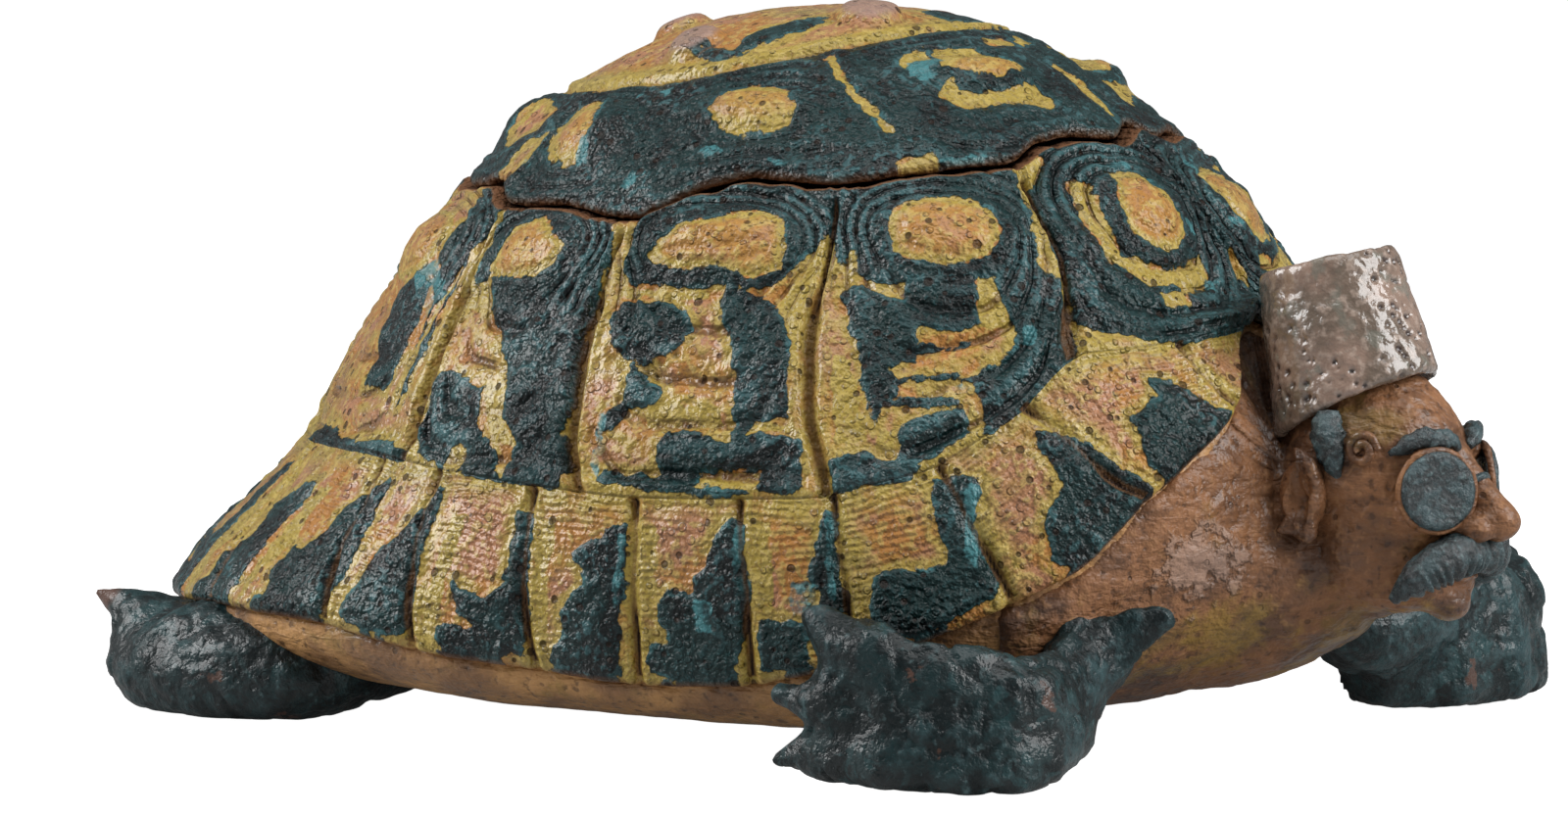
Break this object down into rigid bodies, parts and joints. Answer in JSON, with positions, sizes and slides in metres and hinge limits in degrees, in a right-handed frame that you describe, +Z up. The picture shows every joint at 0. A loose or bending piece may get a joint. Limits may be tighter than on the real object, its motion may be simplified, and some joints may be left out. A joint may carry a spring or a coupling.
{
  "type": "ceramic tortoise box",
  "caption": "Glazed ceramic box in the shape of a tortoise with a man's head in a fez, round dark glasses and a moustache; the upper shell is a lid that lifts off.",
  "frame": {"origin": "middle of the bounding box, on the surface that the soles stand on", "axes": "+X towards the head, +Y to the tortoise's left, +Z up"},
  "size_m": [0.494, 0.356, 0.238],
  "materials": {
    "body": "glossy glaze over bare terracotta on the belly, neck and head",
    "lid": "glossy dark teal glaze with ochre patches"
  },
  "bodies": {
    "root": {"body": "body", "lid": "lid"}
  },
  "joints": []
}
